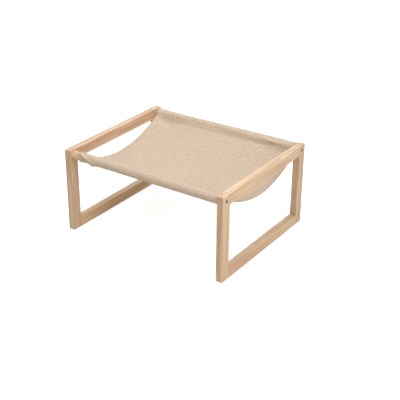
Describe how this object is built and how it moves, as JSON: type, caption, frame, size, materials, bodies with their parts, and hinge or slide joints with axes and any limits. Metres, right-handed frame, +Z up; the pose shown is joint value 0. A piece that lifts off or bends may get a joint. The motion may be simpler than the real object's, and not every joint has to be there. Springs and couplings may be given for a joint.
{
  "type": "cat hammock",
  "caption": "Low cat hammock: a sagging woven cloth sling hangs by sewn sleeves on round crossbars bolted between closed rectangular wooden side frames.",
  "frame": {"origin": "middle of the footprint, on the floor", "axes": "+X to the right along the crossbars, +Y to the rear, +Z up"},
  "size_m": [0.52, 0.42, 0.245],
  "materials": {
    "pine": "sanded, clear oil",
    "beech": "raw",
    "cloth": "coarse woven linen look",
    "bolt": "dark bronze-brown plated",
    "insert": "plain"
  },
  "bodies": {
    "hammock": {"left_front_upright": "pine", "left_rear_upright": "pine", "left_top_rail": "pine", "left_bottom_rail": "pine", "left_corner_dowels": "beech", "right_front_upright": "pine", "right_rear_upright": "pine", "right_top_rail": "pine", "right_bottom_rail": "pine", "right_corner_dowels": "beech", "front_crossbar": "pine", "rear_crossbar": "pine", "front_left_insert": "insert", "front_right_insert": "insert", "rear_left_insert": "insert", "rear_right_insert": "insert", "sling": "cloth"},
    "front_left_bolt": {"front_left_bolt": "bolt"},
    "front_right_bolt": {"front_right_bolt": "bolt"},
    "rear_left_bolt": {"rear_left_bolt": "bolt"},
    "rear_right_bolt": {"rear_right_bolt": "bolt"}
  },
  "joints": [
    {"name": "front_left_bolt_out", "type": "slide", "parent": "hammock", "child": "front_left_bolt", "axis": [-1, 0, 0], "range_m": [0, 0.055]},
    {"name": "front_right_bolt_out", "type": "slide", "parent": "hammock", "child": "front_right_bolt", "axis": [1, 0, 0], "range_m": [0, 0.055]},
    {"name": "rear_left_bolt_out", "type": "slide", "parent": "hammock", "child": "rear_left_bolt", "axis": [-1, 0, 0], "range_m": [0, 0.055]},
    {"name": "rear_right_bolt_out", "type": "slide", "parent": "hammock", "child": "rear_right_bolt", "axis": [1, 0, 0], "range_m": [0, 0.055]}
  ]
}
